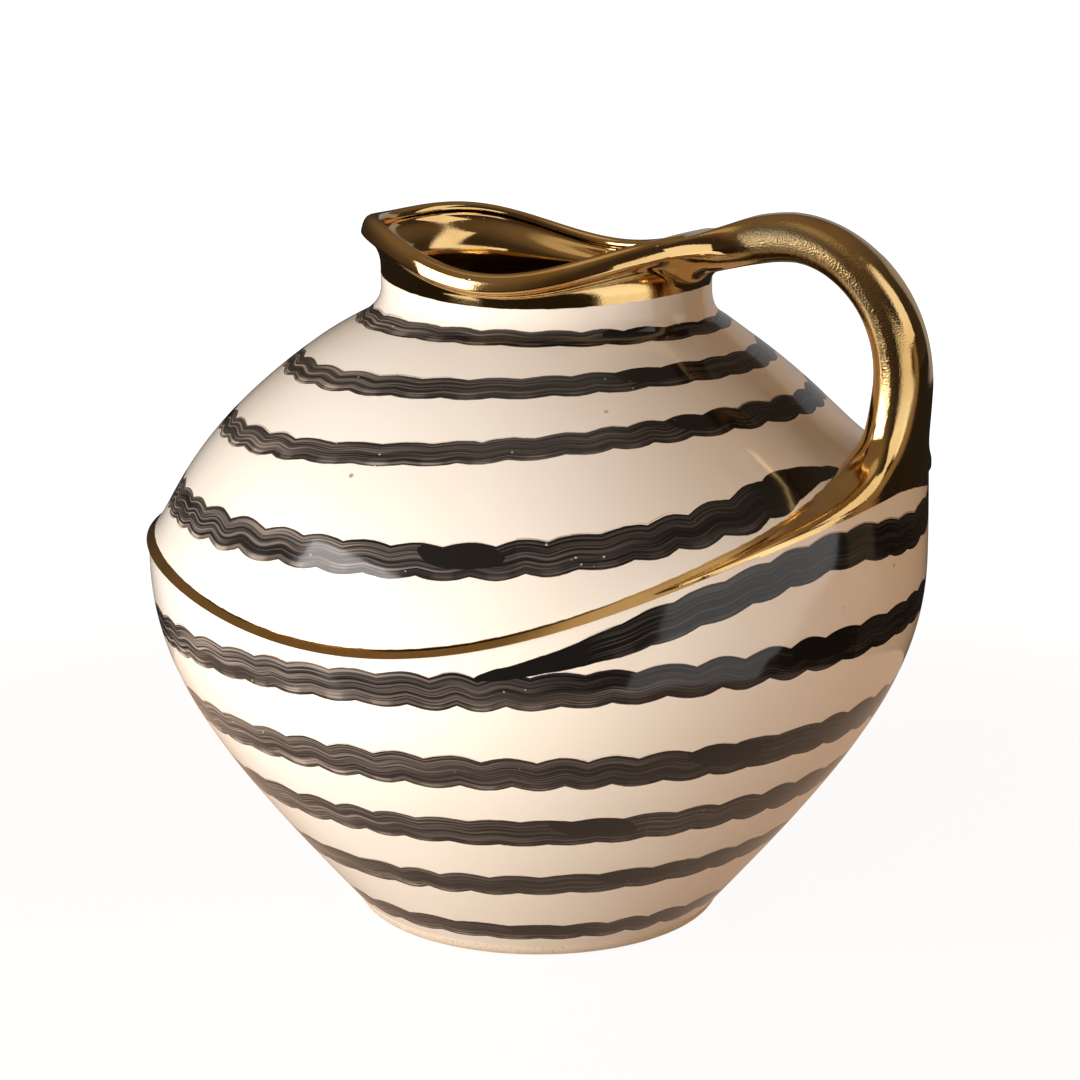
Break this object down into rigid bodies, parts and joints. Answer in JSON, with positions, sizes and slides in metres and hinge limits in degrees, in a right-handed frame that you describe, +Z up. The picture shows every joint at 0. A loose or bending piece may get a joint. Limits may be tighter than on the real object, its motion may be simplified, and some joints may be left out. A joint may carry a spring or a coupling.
{
  "type": "ceramic vase",
  "caption": "Round ceramic vase on a foot ring, with a wavy flared gold lip and a gold strap handle that sweeps into a ridge round the shoulder; cream glaze with wavy dark brush stripes.",
  "frame": {"origin": "on the axis of the round body, in the plane that the foot ring stands on", "axes": "+Z up along the axis of the body, +X towards the handle, the spout of the lip towards -X"},
  "size_m": [0.2236, 0.221, 0.203],
  "materials": {
    "biscuit": "unglazed, matt",
    "glaze": "glossy cream glaze with dark hand-painted stripes",
    "gold_lustre": "glossy antique gold lustre over glaze"
  },
  "bodies": {
    "root": {"foot_ring": "biscuit", "bowl": "glaze", "shoulder": "glaze", "ridge_band": "gold_lustre", "lip": "gold_lustre", "handle": "gold_lustre"}
  },
  "joints": []
}
